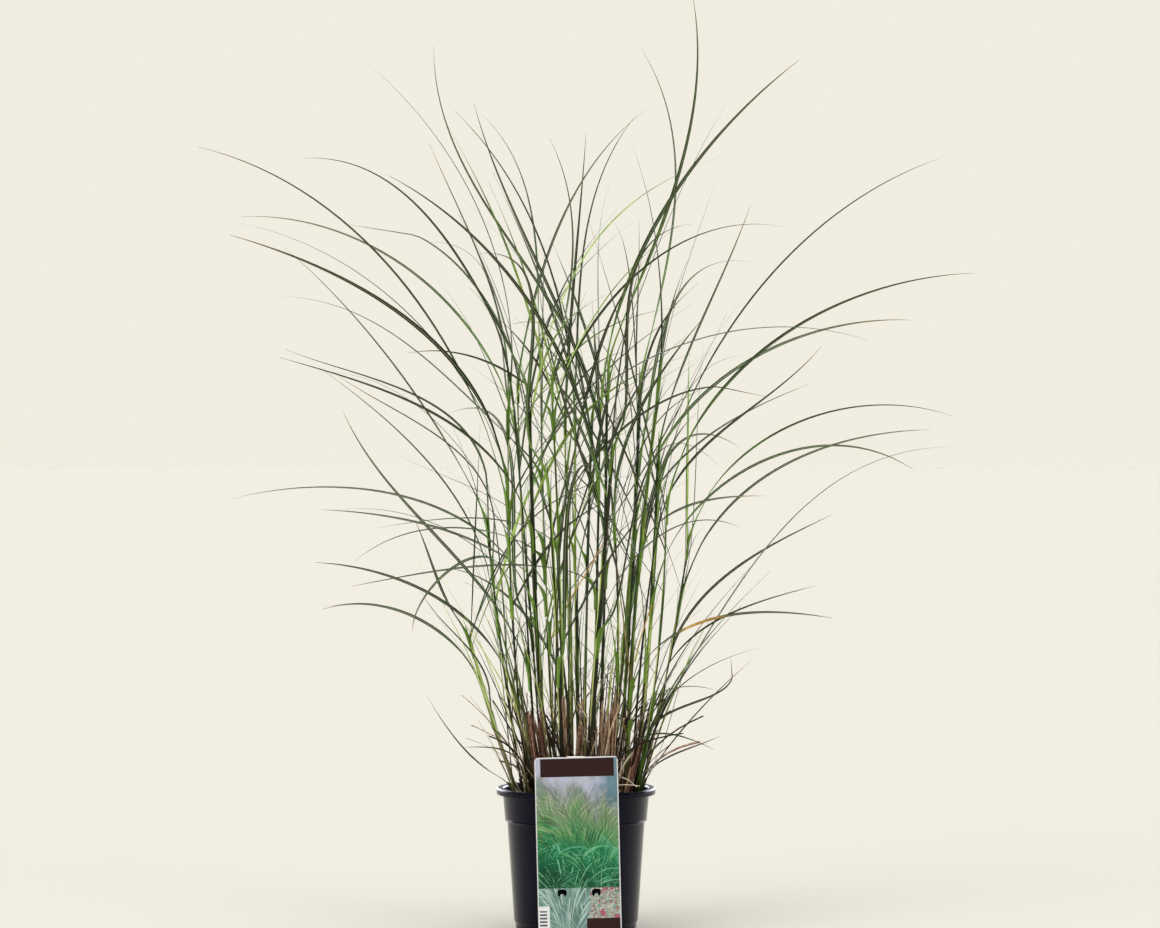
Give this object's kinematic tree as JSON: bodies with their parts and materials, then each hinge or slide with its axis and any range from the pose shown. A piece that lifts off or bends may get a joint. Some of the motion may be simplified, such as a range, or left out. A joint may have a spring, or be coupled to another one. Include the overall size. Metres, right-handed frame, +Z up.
{
  "type": "potted ornamental grass",
  "caption": "Tall clump of arching ornamental grass in a round black nursery pot, with potting mix and a plain picture label hooked over the rim.",
  "frame": {"origin": "centre of the pot's underside", "axes": "+Z up along the pot's axis, -Y towards the side where the label hangs"},
  "size_m": [0.8262, 0.6905, 1.003],
  "materials": {
    "pot_plastic": "black moulded polypropylene, half gloss",
    "potting_mix": "dark moist peat and bark crumbs with pale straw bits",
    "label_plastic": "printed polystyrene card, satin",
    "stem_green": "pale yellow-green leaf sheaths, satin",
    "leaf_green": "dark green ribbed leaf with a pale midrib, satin",
    "dry_stalk": "dry red-brown cut stalk, rough"
  },
  "bodies": {
    "root": {"pot": "pot_plastic", "potting_mix": "potting_mix", "plant_label": "label_plastic", "stem_01": "stem_green", "stem_02": "stem_green", "stem_03": "stem_green", "stem_04": "stem_green", "stem_05": "stem_green", "stem_06": "stem_green", "stem_07": "stem_green", "stem_08": "stem_green", "stem_09": "stem_green", "stem_10": "stem_green", "stem_11": "stem_green", "stem_12": "stem_green", "stem_13": "stem_green", "stem_14": "stem_green", "stem_15": "stem_green", "stem_16": "stem_green", "stem_17": "stem_green", "stem_18": "stem_green", "stem_19": "stem_green", "stem_20": "stem_green", "stem_21": "stem_green", "stem_22": "stem_green", "leaf_01": "leaf_green", "leaf_02": "leaf_green", "leaf_03": "leaf_green", "leaf_04": "leaf_green", "leaf_05": "leaf_green", "leaf_06": "leaf_green", "leaf_07": "leaf_green", "leaf_08": "leaf_green", "leaf_09": "leaf_green", "leaf_10": "leaf_green", "leaf_11": "leaf_green", "leaf_12": "leaf_green", "leaf_13": "leaf_green", "leaf_14": "leaf_green", "leaf_15": "leaf_green", "leaf_16": "leaf_green", "leaf_17": "leaf_green", "leaf_18": "leaf_green", "leaf_19": "leaf_green", "leaf_20": "leaf_green", "leaf_21": "leaf_green", "leaf_22": "leaf_green", "leaf_23": "leaf_green", "leaf_24": "leaf_green", "leaf_25": "leaf_green", "leaf_26": "leaf_green", "leaf_27": "leaf_green", "leaf_28": "leaf_green", "leaf_29": "leaf_green", "old_stub_01": "dry_stalk", "old_stub_02": "dry_stalk", "old_stub_03": "dry_stalk", "old_stub_04": "dry_stalk", "old_stub_05": "dry_stalk", "old_stub_06": "dry_stalk"}
  },
  "joints": []
}
